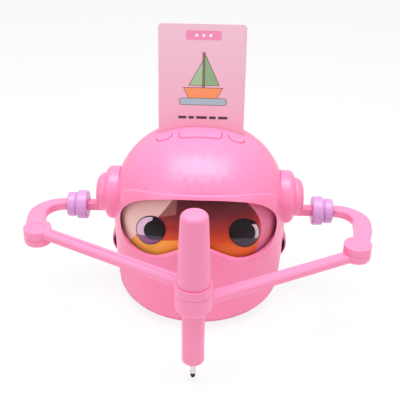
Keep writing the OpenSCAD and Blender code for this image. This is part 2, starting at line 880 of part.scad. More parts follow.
// Right upper arm; pin_up is true where the forearm lies on top
module upper_arm(pin_up) {
  color(pink)
  difference() {
    union() {
      translate([0, 0, arm_low])
        linear_extrude(arm_t)
          arm_outline();
      translate([elbow_x, -elbow_y, arm_low])
        rotate_extrude()
          polygon(concat([[0, 0]], pin_up ? [[elbow_r - 2, 0], [elbow_r - 0.6, 0.6], [elbow_r, 2]]
            : [[elbow_r, 0]], [[elbow_r, arm_t], [0, arm_t]]));
      translate([shoulder_x, 0, arm_low])
        cylinder(arm_t, shaft_r + hub_wall, shaft_r + hub_wall);
    }
    translate([shoulder_x, 0, arm_low - 1])
      cylinder(arm_t - shaft_cover + 1 + 0.1, shaft_r + run, shaft_r + run);
    translate([elbow_x, -elbow_y, pin_up ? arm_low + 1 : arm_low - 1])
      cylinder(arm_t, pin_r + run, pin_r + run);
  }
}

// Two-step collar on the right arm
collar_fit = 0.55;
module collar() {
  color(lilac)
  difference() {
    translate([collar_x, 0, arm_z])
      rotate([0, 90, 0])
        rotate_extrude()
          polygon([[0, 0], [collar_r - 0.8, 0], [collar_r, 0.8], [collar_r, collar_len - 1.4],
            [collar_r - 0.5, collar_len - 0.5], [collar_small_r - 0.9, collar_len],
            [collar_small_r - 0.9, collar_len + 0.6], [collar_small_r, collar_len + 1.2],
            [collar_small_r, collar_len + collar_small_len - 0.8],
            [collar_small_r - 0.8, collar_len + collar_small_len],
            [0, collar_len + collar_small_len]]);
    translate([shoulder_x, -stub_w / 2 - collar_fit, arm_low - 0.1])
      cube([elbow_x - shoulder_x, stub_w + 2 * collar_fit, arm_t + 0.2]);
  }
}

// Bar with bevelled edges along +X from 0 to len, between two levels
module bevel_bar(len, w, low, high, bevel) {
  rotate([90, 0, 90])
    linear_extrude(len)
      polygon([[-w / 2 + bevel, low], [w / 2 - bevel, low], [w / 2, low + bevel],
        [w / 2, high - bevel], [w / 2 - bevel, high], [-w / 2 + bevel, high],
        [-w / 2, high - bevel], [-w / 2, low + bevel]]);
}

// Forearm in its own frame: the elbow at the origin, the pen at +X
module forearm_left_local() {
  difference() {
    union() {
      translate([0, 0, left_low])
        cylinder(fore_t, elbow_r, elbow_r);
      bevel_bar(fore_len, fore_w, left_low, left_top, fore_bevel);
      translate([fore_len, 0, left_low])
        cylinder(fore_t, ring_r, ring_r);
    }
    translate([0, 0, left_low - 1])
      cylinder(fore_t + 2, pin_r + run, pin_r + run);
    translate([0, 0, left_top - 0.8])
      cylinder(2, cap_r + run, cap_r + run);
    translate([fore_len, 0, left_low - 1])
      cylinder(fore_t + 2, neck_r + 0.1, neck_r + 0.1);
    // Lengthwise groove on the top of the bar
    translate([elbow_r + 2, -0.5, left_top - 0.4])
      cube([fore_len - elbow_r - ring_r - 4, 1, 1]);
  }
}

module forearm_right_local() {
  difference() {
    union() {
      translate([0, 0, right_low])
        rotate_extrude()
          polygon([[0, 0], [elbow_r - 2, 0], [elbow_r - 0.6, 0.6], [elbow_r, 2],
            [elbow_r, fore_t], [0, fore_t]]);
      bevel_bar(fore_len, fore_w, right_low, right_top, fore_bevel);
      translate([fore_len, 0, cup_low])
        rotate_extrude()
          polygon([[0, 0], [ring_r - 2.6, 0], [ring_r, 3], [ring_r, cup_depth], [0, cup_depth]]);
    }
    translate([0, 0, right_low - 1])
      cylinder(fore_t + 2, pin_r + run, pin_r + run);
    translate([0, 0, right_low - 1])
      cylinder(1.8, cap_r + run, cap_r + run);
    translate([fore_len, 0, cup_low - 1])
      cylinder(cup_depth + 2, barrel_r + open_pivot_gap, barrel_r + open_pivot_gap);
  }
}

module forearm_left() {
  color(pink)
  translate([-elbow_x, -elbow_y, 0])
    rotate([0, 0, -fore_turn])
      forearm_left_local();
}

module forearm_right() {
  color(pink)
  translate([elbow_x, -elbow_y, 0])
    rotate([0, 0, 180 + fore_turn])
      forearm_right_local();
}

module elbow_pin_left() {
  color(pink)
  translate([-elbow_x, -elbow_y, 0]) {
    translate([0, 0, arm_low + 1.1])
      cylinder(left_top - 0.5 - arm_low - 1.1, pin_r, pin_r);
    translate([0, 0, left_top - 0.75])
      cylinder(0.7, cap_r, cap_r);
  }
}

module elbow_pin_right() {
  color(pink)
  translate([elbow_x, -elbow_y, 0]) {
    translate([0, 0, right_low + 0.5])
      cylinder(arm_top - 1.2 - right_low - 0.5, pin_r, pin_r);
    translate([0, 0, right_low + 0.05])
      cylinder(0.7, cap_r, cap_r);
  }
}

module at_pen() {
  translate([0, -pen_y, 0])
    children();
}

module pen_cap() {
  color(pink)
  at_pen()
    difference() {
      rotate_extrude()
        polygon([[0, left_low + 0.3], [neck_r, left_low + 0.3], [neck_r, left_top + 0.05],
          [cap_base_r, left_top + 0.05], [cap_base_r, left_top + 3], [cap_top_r + 0.3, cap_top_z - 4],
          [cap_top_r - 0.1, cap_top_z - 1.6], [cap_top_r - 1.5, cap_top_z], [0, cap_top_z]]);
      translate([0, 0, left_low - 1])
        cylinder(barrel_top - left_low + 1.2, barrel_r + run, barrel_r + run);
      translate([0, 0, barrel_top - 1])
        cylinder(cap_top_z - barrel_top - 2, marker_r + 0.3, marker_r + 0.3);
    }
}
barrel_top = left_top + 22;

module pen_barrel() {
  color(pink)
  at_pen()
    difference() {
      rotate_extrude()
        polygon([[0, barrel_end], [4, barrel_end], [barrel_r, barrel_bottom],
          [barrel_r, barrel_top], [0, barrel_top]]);
      translate([0, 0, barrel_bottom])
        cylinder(barrel_top, barrel_r - holder_wall, barrel_r - holder_wall);
      translate([0, 0, barrel_end - 1])
        cylinder(10, nib_r + 0.6, nib_r + 0.6);
    }
}

module marker_body() {
  color([0.95, 0.95, 0.95])
  at_pen()
    rotate_extrude()
      polygon([[0, barrel_bottom + 0.3], [marker_r - 1.5, barrel_bottom + 0.3],
        [marker_r, barrel_bottom + 3], [marker_r, cap_top_z - 8], [0, cap_top_z - 8]]);
}

module nib_sleeve() {
  color([0.97, 0.97, 0.97])
  at_pen()
    rotate_extrude()
      polygon([[0, tip_z + tip_len], [nib_r - 0.25, tip_z + tip_len], [nib_r, tip_z + tip_len + 0.5],
        [nib_r, barrel_bottom + 0.25], [0, barrel_bottom + 0.25]]);
}

module nib_tip() {
  color([0.08, 0.08, 0.08])
  at_pen()
    rotate_extrude()
      polygon([[0, tip_z], [0.6, tip_z], [1.2, tip_z + 0.6], [1.65, tip_z + 1.8],
        [1.65, tip_z + tip_len - 0.05], [0, tip_z + tip_len - 0.05]]);
}

module flash_card() {
  color([0.93, 0.72, 0.8])
  on_card()
    translate([0, card_h / 2, -card_t / 2])
      linear_extrude(card_t)
        round_rect(card_w, card_h, card_corner);
}

module on_side(side) {
  mirror([side < 0 ? 1 : 0, 0, 0])
    children();
}

upper_shell();
lower_shell();
goggle_frame();
visor_lens();
eye_panel();
pupil(-1);  // pupil_left
pupil(1);  // pupil_right
on_side(-1) ear();  // ear_left
on_side(1) ear();  // ear_right
on_side(-1) side_cup();  // side_cup_left
on_side(1) side_cup();  // side_cup_right
bottom_cover();
battery_door();
foot_pads();
shell_screws();
main_board();
battery_pack();
speaker();
card_chute();
card_reader();
arm_chassis();
motor(-1);  // motor_left
motor(1);  // motor_right
charge_port();
power_switch();
button_center();
side_button(-1);  // button_left
side_button(1);  // button_right
button_board();
motor_pinion(-1);  // motor_pinion_left
motor_pinion(1);  // motor_pinion_right
drive_gear(-1);  // drive_gear_left
drive_gear(1);  // drive_gear_right
on_side(-1) upper_arm(true);  // upper_arm_left
on_side(1) upper_arm(false);  // upper_arm_right
on_side(-1) collar();  // collar_left
on_side(1) collar();  // collar_right
forearm_left();
forearm_right();
elbow_pin_left();
elbow_pin_right();
pen_cap();
pen_barrel();
marker_body();
nib_sleeve();
nib_tip();
flash_card();
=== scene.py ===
"""Dresses the desktop drawing robot: moulded plastics, tinted goggles, printed card and soft studio.

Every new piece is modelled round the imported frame, in metres, with the floor at z = 0,
the front of the robot towards -Y and the arms along X.
"""
import json
import math

import bpy
from bpy.props import FloatProperty, FloatVectorProperty, PointerProperty
from bpy.types import Operator, Panel, PropertyGroup
from mathutils import Matrix, Vector


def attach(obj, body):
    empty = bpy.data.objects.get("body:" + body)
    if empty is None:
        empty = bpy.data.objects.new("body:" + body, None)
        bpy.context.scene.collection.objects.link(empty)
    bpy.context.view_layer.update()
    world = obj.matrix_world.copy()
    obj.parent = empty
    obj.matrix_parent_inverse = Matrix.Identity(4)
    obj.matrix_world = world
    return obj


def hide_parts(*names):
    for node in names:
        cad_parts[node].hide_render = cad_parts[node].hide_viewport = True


bl_info = {
    "name": "Drawing Robot Dresser",
    "version": (1, 0, 0),
    "blender": (4, 5, 0),
    "location": "View3D > Sidebar > Drawing Robot",
    "description": "Finishes a goggled drawing robot with two jointed arms, and sets its studio",
    "category": "Object",
}

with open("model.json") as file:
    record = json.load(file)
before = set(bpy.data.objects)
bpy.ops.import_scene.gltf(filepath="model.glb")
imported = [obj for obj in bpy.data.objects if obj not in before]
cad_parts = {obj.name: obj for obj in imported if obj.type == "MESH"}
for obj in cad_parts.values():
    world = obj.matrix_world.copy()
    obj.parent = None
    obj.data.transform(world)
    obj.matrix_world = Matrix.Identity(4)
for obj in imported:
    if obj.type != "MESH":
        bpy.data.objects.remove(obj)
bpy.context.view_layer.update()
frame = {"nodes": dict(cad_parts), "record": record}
MM = 0.001

# Skin of the body, in millimetres: round in plan, a full dome above, a slight taper below
BODY_RADIUS = 66.3
BODY_MIDDLE = 70.6
DOME_HEIGHT = 66.0
DOME_POWER = 2.3
TAPER = 2.5
TAPER_OVER = 56.0
TAPER_POWER = 1.9

# Ear and the slot that its arm swings in, in metres
EAR_AXIS = 0.082
SLOT_MIDDLE = (0.0694, 0.0702)
SLOT_SIZE = (0.0348, 0.009, 0.0068)
SLOT_SPREAD = 2.74
SLOT_SPREADS_FROM = 0.07

# Goggles: depths from the skin, in millimetres; a positive depth stands proud
FRAME_BACK = -4.4
LENS_SEAT = -3.2
LENS_FRONT, LENS_THICK, LENS_RISE = -3.35, 1.3, 1.9
PANEL_FRONT, PANEL_THICK, PANEL_RISE = -5.9, 1.0, 3.05
PUPIL_FRONT, PUPIL_THICK = -5.2, 0.6
PANEL_RADIUS = 60.4
FLARE = 1.03
GOGGLE_MIDDLE = 80
RIM_PROUD, BROW_PROUD = 0.35, 1.15
BROW_START, BROW_RISE = 72, 22
PANEL_TURN, PANEL_FOOT, PANEL_TALL = 72, 55.5, 55.0
RISE_START, RISE_OVER = 50, 18
PUPIL_TURN, PUPIL_HEIGHT, PUPIL_WIDE, PUPIL_HIGH, PUPIL_SKEW = 34.7, 78.4, 13.4, 11.5, 0.3

# Side scoop, in metres
SCOOP_CENTRE = (0.0601, 0.0035, 0.0405)
SCOOP_SHAPE = (0.92, 1.75, 1.3)
SCOOP_RADIUS, SCOOP_WALL, SCOOP_ROOT = 0.01, 0.0009, 0.0605

# Flash card: lean in degrees, then its foot, in millimetres
CARD_LEAN = 5.7
CARD_FOOT, CARD_PLANE = 124.0, 3.9

# Studio
GRAIN_DEPTH = 0.0002
FLOOR_SIZE, FLOOR_DROP, FLOOR_WHITE = 8, 0.0002, 0.86
CAMERA_CENTRE = 0.060
CAMERA_AIM = (-0.00104, 0, 0.07678)
CAMERA_SHIFT = (0.0012, 0, 0)
LAMP_AIM = (0, -0.02, 0.07)
FILL = 0.37


def srgb(red, green, blue):
    """Linear colour of a display colour given in 0 to 255."""
    channels = [value / 255 for value in (red, green, blue)]
    return tuple(
        c / 12.92 if c <= 0.04045 else ((c + 0.055) / 1.055) ** 2.4 for c in channels
    )


def colour_prop(name, description, display):
    """Colour property whose default is a display colour."""
    return FloatVectorProperty(
        name=name,
        description=description,
        subtype="COLOR",
        size=3,
        min=0,
        max=1,
        default=srgb(*display),
    )


# --------------------------------------------------------------------------- settings


class RobotFinishes(PropertyGroup):
    """Colours and gloss of the moulded pieces."""

    body_pink: colour_prop("Body pink", "Plastic of the shells and ears", (247, 134, 178))
    arm_pink: colour_prop("Arm pink", "Plastic of the arms and the pen holder", (248, 140, 182))
    collar_lilac: colour_prop("Collar lilac", "Plastic of the two-step collars", (205, 150, 205))
    pocket_purple: colour_prop("Pocket purple", "Lining of the side pockets", (204, 108, 192))
    gloss: FloatProperty(
        name="Roughness",
        description="Roughness of the pink plastic",
        default=0.34,
        min=0.1,
        max=0.8,
    )


class StudioSettings(PropertyGroup):
    """Camera and light of the studio."""

    camera_turn: FloatProperty(
        name="Camera turn", description="Turn of the camera, in degrees", default=1.43
    )
    camera_rise: FloatProperty(
        name="Camera rise", description="Height angle, in degrees", default=30.5
    )
    camera_away: FloatProperty(
        name="Camera distance", description="Distance of the camera", default=0.6, unit="LENGTH"
    )
    camera_roll: FloatProperty(name="Camera roll", description="Roll, in degrees", default=0.83)
    lens: FloatProperty(name="Lens", description="Focal length in millimetres", default=68.73)


# --------------------------------------------------------------------------- materials


def new_material(name):
    """Empty node material with its output and Principled shader."""
    material = bpy.data.materials.new(name)
    material.use_nodes = True
    nodes = material.node_tree.nodes
    nodes.clear()
    output = nodes.new("ShaderNodeOutputMaterial")
    shader = nodes.new("ShaderNodeBsdfPrincipled")
    material.node_tree.links.new(shader.outputs["BSDF"], output.inputs["Surface"])
    return material, shader


def group_node(material, group, **values):
    """Places a node group in a material and sets its inputs."""
    node = material.node_tree.nodes.new("ShaderNodeGroup")
    node.node_tree = group
    for name, value in values.items():
        node.inputs[name.replace("_", " ")].default_value = value
    return node


def moulded_surface_group():
    """Node group of moulded plastic: faint mottling of the colour, roughness and surface height."""
    name = "Moulded surface"
    if name in bpy.data.node_groups:
        return bpy.data.node_groups[name]
    group = bpy.data.node_groups.new(name, "ShaderNodeTree")
    face = group.interface
    for label, kind, value in (
        ("Colour", "NodeSocketColor", (0.8, 0.2, 0.5, 1)),
        ("Mottle", "NodeSocketFloat", 0.05),
        ("Roughness", "NodeSocketFloat", 0.35),
        ("Roughness spread", "NodeSocketFloat", 0.06),
        ("Grain scale", "NodeSocketFloat", 1800.0),
    ):
        socket = face.new_socket(label, in_out="INPUT", socket_type=kind)
        socket.default_value = value
    face.new_socket("Colour", in_out="OUTPUT", socket_type="NodeSocketColor")
    face.new_socket("Roughness", in_out="OUTPUT", socket_type="NodeSocketFloat")
    face.new_socket("Height", in_out="OUTPUT", socket_type="NodeSocketFloat")
    nodes, links = group.nodes, group.links
    inputs = nodes.new("NodeGroupInput")
    outputs = nodes.new("NodeGroupOutput")
    place = nodes.new("ShaderNodeTexCoord")
    # Slow flow marks of the plastic
    flow = nodes.new("ShaderNodeTexNoise")
    flow.inputs["Scale"].default_value = 45
    flow.inputs["Detail"].default_value = 3
    links.new(place.outputs["Object"], flow.inputs["Vector"])
    # Fine spark-eroded grain of the mould
    grain = nodes.new("ShaderNodeTexNoise")
    grain.inputs["Detail"].default_value = 2
    links.new(place.outputs["Object"], grain.inputs["Vector"])
    links.new(inputs.outputs["Grain scale"], grain.inputs["Scale"])
    # Colour made a little darker and lighter along the flow marks
    centred = nodes.new("ShaderNodeMath")
    centred.operation = "SUBTRACT"
    centred.inputs[1].default_value = 0.5
    links.new(flow.outputs["Fac"], centred.inputs[0])
    amount = nodes.new("ShaderNodeMath")
    amount.operation = "MULTIPLY_ADD"
    amount.inputs[2].default_value = 1.0
    links.new(centred.outputs[0], amount.inputs[0])
    links.new(inputs.outputs["Mottle"], amount.inputs[1])
    tinted = nodes.new("ShaderNodeVectorMath")
    tinted.operation = "SCALE"
    links.new(inputs.outputs["Colour"], tinted.inputs[0])
    links.new(amount.outputs[0], tinted.inputs["Scale"])
    links.new(tinted.outputs[0], outputs.inputs["Colour"])
    rough = nodes.new("ShaderNodeMath")
    rough.operation = "MULTIPLY_ADD"
    links.new(centred.outputs[0], rough.inputs[0])
    links.new(inputs.outputs["Roughness spread"], rough.inputs[1])
    links.new(inputs.outputs["Roughness"], rough.inputs[2])
    links.new(rough.outputs[0], outputs.inputs["Roughness"])
    links.new(grain.outputs["Fac"], outputs.inputs["Height"])
    return group


def moulded_plastic(name, colour, roughness=0.35, grain=0.02, grain_scale=1800.0):
    """Moulded plastic with flow marks and fine grain."""
    if name in bpy.data.materials:
        return bpy.data.materials[name]
    material, shader = new_material(name)
    links = material.node_tree.links
    surface = group_node(
        material,
        moulded_surface_group(),
        Colour=(*colour, 1),
        Roughness=roughness,
        Grain_scale=grain_scale,
    )
    links.new(surface.outputs["Colour"], shader.inputs["Base Color"])
    links.new(surface.outputs["Roughness"], shader.inputs["Roughness"])
    bump = material.node_tree.nodes.new("ShaderNodeBump")
    bump.inputs["Strength"].default_value = grain
    bump.inputs["Distance"].default_value = GRAIN_DEPTH
    links.new(surface.outputs["Height"], bump.inputs["Height"])
    links.new(bump.outputs["Normal"], shader.inputs["Normal"])
    return material


def dress(node, material):
    """Gives a CAD node its material."""
    mesh = frame["nodes"][node].data
    mesh.materials.clear()
    mesh.materials.append(material)


# --------------------------------------------------------------------------- patterns


class Wire:
    """A number that changes over the surface, with the usual arithmetic as Math nodes."""

    def __init__(self, tree, socket):
        self.tree = tree
        self.socket = socket

    def math(self, operation, *others):
        node = self.tree.nodes.new("ShaderNodeMath")
        node.operation = operation
        for place, value in enumerate((self, *others)):
            if isinstance(value, Wire):
                self.tree.links.new(value.socket, node.inputs[place])
            else:
                node.inputs[place].default_value = value
        return Wire(self.tree, node.outputs[0])

    def __add__(self, other):
        return self.math("ADD", other)

    def __sub__(self, other):
        return self.math("SUBTRACT", other)

    def __mul__(self, other):
        return self.math("MULTIPLY", other)

    def __neg__(self):
        return self.math("MULTIPLY", -1.0)

    def least(self, other):
        return self.math("MINIMUM", other)

    def most(self, other):
        return self.math("MAXIMUM", other)

    def size(self):
        return self.math("ABSOLUTE")

    def power(self, exponent):
        return self.math("POWER", exponent)

    def inside(self, soft):
        """1 where the number is positive, 0 where it is negative, blended over soft."""
        node = (self * (1 / soft) + 0.5)
        clamp = self.tree.nodes.new("ShaderNodeClamp")
        self.tree.links.new(node.socket, clamp.inputs["Value"])
        return Wire(self.tree, clamp.outputs[0])


def places(material):
    """X, Y and Z over the surface in millimetres."""
    tree = material.node_tree
    coords = tree.nodes.new("ShaderNodeTexCoord")
    split = tree.nodes.new("ShaderNodeSeparateXYZ")
    tree.links.new(coords.outputs["Object"], split.inputs[0])
    return tuple(Wire(tree, split.outputs[axis]) * 1000.0 for axis in range(3))


def paint(tree, below, colour, mask):
    """Colour socket with a colour painted over another where the mask is 1."""
    mix = tree.nodes.new("ShaderNodeMix")
    mix.data_type = "RGBA"
    tree.links.new(mask.socket, mix.inputs["Factor"])
    for name, value in (("A", below), ("B", colour)):
        socket = [item for item in mix.inputs if item.name == name and item.type == "RGBA"][0]
        if isinstance(value, tuple):
            socket.default_value = (*value[:3], 1)
        else:
            tree.links.new(value, socket)
    return [item for item in mix.outputs if item.type == "RGBA"][0]


def ramp(tree, wire, stops):
    """Colour socket that runs through colours along a number; stops are (number, colour)."""
    low, high = stops[0][0], stops[-1][0]
    node = tree.nodes.new("ShaderNodeValToRGB")
    tree.links.new(((wire - low) * (1 / (high - low))).socket, node.inputs["Fac"])
    node.color_ramp.elements[0].color = (*stops[0][1], 1)
    node.color_ramp.elements[1].color = (*stops[-1][1], 1)
    for number, colour in stops[1:-1]:
        stop = node.color_ramp.elements.new((number - low) / (high - low))
        stop.color = (*colour, 1)
    return node.outputs["Color"]


# --------------------------------------------------------------------------- shapes


def body_of(node):
    """Body that a CAD node rides on."""
    for body, nodes in frame["record"]["behaviour"]["bodies"].items():
        if node in nodes:
            return body
    raise RuntimeError("no body holds " + node)


def seat_piece(piece, node, material):
    """Gives a piece its material and its body, and hides the node that it stands for."""
    piece.data.materials.clear()
    piece.data.materials.append(material)
    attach(piece, body_of(node))
    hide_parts(node)
    return piece


def skin_radius(height, proud=0.0):
    """Radius of the body's outside at a height, both in millimetres."""
    if height > BODY_MIDDLE:
        up = min(1.0, (height - BODY_MIDDLE) / (DOME_HEIGHT + proud))
        return (BODY_RADIUS + proud) * (1 - up**DOME_POWER) ** (1 / DOME_POWER)
    down = (BODY_MIDDLE - height) / TAPER_OVER
    return BODY_RADIUS + proud - TAPER * down**TAPER_POWER


def on_skin(x, height, proud=0.0):
    """Point on the front of the body, in metres, with x and height in millimetres."""
    radius = skin_radius(height, proud)
    return (x * MM, -math.sqrt(max(0.0, radius**2 - x * x)) * MM, height * MM)


def softened(node, material, width, segments=3, angle=32.0):
    """Copy of a CAD node with rounded edges, in place of the node."""
    deselect()
    mesh = frame["nodes"][node].data.copy()
    piece = bpy.data.objects.new(node + "_moulded", mesh)
    bpy.context.scene.collection.objects.link(piece)
    piece.select_set(True)
    bpy.context.view_layer.objects.active = piece
    bpy.ops.object.mode_set(mode="EDIT")
    bpy.ops.mesh.select_all(action="SELECT")
    bpy.ops.mesh.remove_doubles(threshold=0.00002)
    bpy.ops.mesh.dissolve_limited(angle_limit=math.radians(0.6))
    bpy.ops.object.mode_set(mode="OBJECT")
    round_edges(piece, width, segments, angle)
    return seat_piece(piece, node, material)


def round_edges(piece, width, segments=3, angle=32.0):
    """Rounds the sharp edges of a piece and shades it smooth."""
    deselect()
    piece.select_set(True)
    bpy.context.view_layer.objects.active = piece
    bevel = piece.modifiers.new("Rounding", "BEVEL")
    bevel.width = width
    bevel.segments = segments
    bevel.limit_method = "ANGLE"
    bevel.angle_limit = math.radians(angle)
    bevel.use_clamp_overlap = True
    bpy.ops.object.modifier_apply(modifier=bevel.name)
    bpy.ops.object.shade_smooth_by_angle(angle=math.radians(35))


# --------------------------------------------------------------------------- operators


def pink_shell(look):
    """Plastic of the shells, ears and goggle frame."""
    return moulded_plastic("Pink shell plastic", look.body_pink, look.gloss)


class ROBOT_OT_housing(Operator):
    """Finish the shells, ears, pockets and covers"""

    bl_idname = "robot.housing"
    bl_label = "Housing"

    def execute(self, context):
        look = context.scene.robot_finishes
        pink = pink_shell(look)
        softened("upper_shell", pink, 0.00035, 2)
        softened("lower_shell", pink, 0.00035, 2)
        purple = moulded_plastic("Purple pocket lining", look.pocket_purple, 0.5)
        for side in ("left", "right"):
            ear(side, pink)
        goggle_frame(pink)
        for side in ("left", "right"):
            side_scoop(side, pink, purple)
            dress("side_cup_" + side, purple)
        for node in ("button_center", "button_left", "button_right"):
            softened(node, pink, 0.0004, 2)
        for node in ("bottom_cover", "battery_door", "card_chute"):
            dress(node, pink)
        return {"FINISHED"}


def turned(name, profile, steps=96):
    """Shape turned about the Z axis from a profile of (radius, height) in millimetres."""
    deselect()
    bpy.ops.mesh.primitive_plane_add(size=MM)
    piece = bpy.context.object
    piece.name = name
    bpy.ops.object.mode_set(mode="EDIT")
    bpy.ops.mesh.select_all(action="SELECT")
    bpy.ops.mesh.merge(type="CENTER")
    bpy.ops.transform.translate(value=(profile[0][0] * MM, 0, profile[0][1] * MM))
    for (r0, h0), (r1, h1) in zip(profile, profile[1:]):
        bpy.ops.mesh.extrude_region_move(
            TRANSFORM_OT_translate={"value": ((r1 - r0) * MM, 0, (h1 - h0) * MM)}
        )
    bpy.ops.mesh.select_all(action="SELECT")
    bpy.ops.mesh.spin(steps=steps, angle=2 * math.pi, center=(0, 0, 0), axis=(0, 0, 1))
    bpy.ops.object.mode_set(mode="OBJECT")
    outward(piece)
    return piece


def arc(centre, radii, first, last, count):
    """Points of an arc; angles in degrees."""
    return [
        (
            centre[0] + radii[0] * math.cos(math.radians(first + (last - first) * i / count)),
            centre[1] + radii[1] * math.sin(math.radians(first + (last - first) * i / count)),
        )
        for i in range(count + 1)
    ]


def cut_away(piece, tool):
    """Takes a tool's shape out of a piece and deletes the tool."""
    deselect()
    piece.select_set(True)
    bpy.context.view_layer.objects.active = piece
    cut = piece.modifiers.new("Cut", "BOOLEAN")
    cut.operation = "DIFFERENCE"
    cut.solver = "EXACT"
    cut.object = tool
    bpy.ops.object.modifier_apply(modifier=cut.name)
    bpy.data.objects.remove(tool)


def arm_slot(way):
    """Wedge that the arm stub sweeps through the ear."""
    deselect()
    middle = (way * SLOT_MIDDLE[0], 0, SLOT_MIDDLE[1])
    bpy.ops.mesh.primitive_cube_add(size=1, location=middle)
    tool = bpy.context.object
    tool.scale = SLOT_SIZE
    bpy.ops.object.transform_apply(location=True, rotation=True, scale=True)
    for vertex in tool.data.vertices:
        if way * vertex.co.x > SLOT_SPREADS_FROM:
            vertex.co.y *= SLOT_SPREAD
    return tool


def ear(side, material):
    """Stepped and domed ear with the slot that the arm swings in."""
    way = -1 if side == "left" else 1
    profile = [(0, 61), (20.3, 61), (20.3, 66.6)]
    profile += arc((15.6, 66.8), (4.7, 4.9), 3, 84, 8)
    profile += [(15.2, 71.9), (14.95, 72.2), (14.9, 72.7)]
    profile += arc((5.5, 73.2), (9.2, 6.1), 4, 90, 10)
    profile += [(3.4, 79.35), (3.0, 79.2), (0, 79.2)]
    piece = turned("Ear_" + side, profile)
    sideways = Matrix.Rotation(way * math.pi / 2, 4, "Y")
    piece.data.transform(Matrix.Translation((0, 0, EAR_AXIS)) @ sideways)
    cut_away(piece, arm_slot(way))
    bpy.ops.object.shade_smooth_by_angle(angle=math.radians(32))
    return seat_piece(piece, "ear_" + side, material)


def goggle_outline(kind):
    """Closed outline of the goggles in millimetres, anticlockwise from the nose; inner or outer."""
    if kind == "inner":
        half = [(0, 76.6), (5, 75.6), (10, 72.4), (16, 68.3), (22, 64.8), (27.5, 62.4)]
        half += [(33, 60.9), (38.5, 60.2), (44, 60.2), (49, 61.0), (53, 63.0), (55.6, 66.2)]
        half += [(57.1, 70.5), (57.7, 75.5), (57.6, 80), (56.8, 84), (55.2, 87.8), (52.8, 91.6)]
        half += [(49.6, 95.2), (45.5, 98.5), (40.4, 101.5), (34.5, 104), (28, 105.9)]
        half += [(21, 107.4), (14, 108.4), (7, 108.9), (0, 109.0)]
    else:
        half = [(0, 75.6), (5, 74.2), (10, 70.8), (16, 66.4), (22, 62.9), (27.5, 60.7)]
        half += [(33, 59.4), (38.5, 58.9), (44, 59.0), (49.5, 60.3), (54.4, 63.2), (57.8, 67.6)]
        half += [(59.9, 73), (60.6, 77.5), (60.7, 81), (60.4, 84.8), (59.4, 89.2), (57.8, 93.8)]
        half += [(55.0, 98.8), (50.6, 102.9), (43.5, 106.1), (35.5, 108.1), (26.5, 109.7)]
        half += [(17.5, 110.8), (10, 111.3), (5, 111.5), (0, 111.5)]
    return half + [(-x, z) for x, z in reversed(half[1:-1])]


def goggle_frame(material):
    """Frame round the goggles: a brow that stands proud above and a thin rim below."""
    inner, outer = goggle_outline("inner"), goggle_outline("outer")

    def proud_at(height):
        rise = min(1.0, max(0.0, (height - BROW_START) / BROW_RISE))
        return RIM_PROUD + BROW_PROUD * rise * rise * (3 - 2 * rise)

    def flared(x, z):
        return on_skin(x * FLARE, GOGGLE_MIDDLE + (z - GOGGLE_MIDDLE) * FLARE, LENS_SEAT)

    rings = (
        [on_skin(x, z, FRAME_BACK) for x, z in outer],
        [on_skin(x, z, proud_at(z)) for x, z in outer],
        [on_skin(x, z, proud_at(z)) for x, z in inner],
        [flared(x, z) for x, z in inner],
    )
    count = len(inner)
    verts = [point for ring in rings for point in ring]
    faces = []
    for band in range(4):
        for i in range(count):
            j = (i + 1) % count
            low, high = band * count, (band + 1) % 4 * count
            faces.append((low + i, low + j, high + j, high + i))
    mesh = bpy.data.meshes.new("Goggle_frame")
    mesh.from_pydata(verts, [], faces)
    piece = bpy.data.objects.new("Goggle_frame", mesh)
    bpy.context.scene.collection.objects.link(piece)
    outward(piece)
    round_edges(piece, 0.0007, 3, 40)
    return seat_piece(piece, "goggle_frame", material)


def outward(piece):
    """Merges the doubles of a piece and turns its faces outwards."""
    deselect()
    piece.select_set(True)
    bpy.context.view_layer.objects.active = piece
    bpy.ops.object.mode_set(mode="EDIT")
    bpy.ops.mesh.select_all(action="SELECT")
    bpy.ops.mesh.remove_doubles(threshold=0.00001)
    bpy.ops.mesh.normals_make_consistent(inside=False)
    bpy.ops.object.mode_set(mode="OBJECT")


def side_scoop(side, pink, purple):
    """Hood under the ear, pink outside and purple inside, open towards the front."""
    way = -1 if side == "left" else 1
    deselect()
    bpy.ops.mesh.primitive_uv_sphere_add(segments=48, ring_count=24, radius=SCOOP_RADIUS)
    piece = bpy.context.object
    piece.name = "Side_scoop_" + side
    bpy.ops.object.mode_set(mode="EDIT")
    bpy.ops.mesh.select_all(action="SELECT")
    x, y, z = SCOOP_CENTRE
    bpy.ops.transform.resize(value=SCOOP_SHAPE)
    bpy.ops.transform.translate(value=(way * x, y, z))
    bpy.ops.mesh.bisect(
        plane_co=(0, -y, z), plane_no=(0, -1, -0.12), clear_outer=True, clear_inner=False
    )
    bpy.ops.mesh.select_all(action="SELECT")
    bpy.ops.mesh.bisect(
        plane_co=(way * SCOOP_ROOT, 0, 0),
        plane_no=(-way, 0, 0),
        clear_outer=True,
        clear_inner=False,
    )
    bpy.ops.object.mode_set(mode="OBJECT")
    piece.data.materials.append(pink)
    piece.data.materials.append(purple)
    wall = piece.modifiers.new("Wall", "SOLIDIFY")
    wall.thickness = SCOOP_WALL
    wall.offset = -1
    wall.material_offset = 1
    wall.material_offset_rim = 0
    bpy.ops.object.modifier_apply(modifier=wall.name)
    bpy.ops.object.shade_smooth_by_angle(angle=math.radians(40))
    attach(piece, "housing")
    return piece


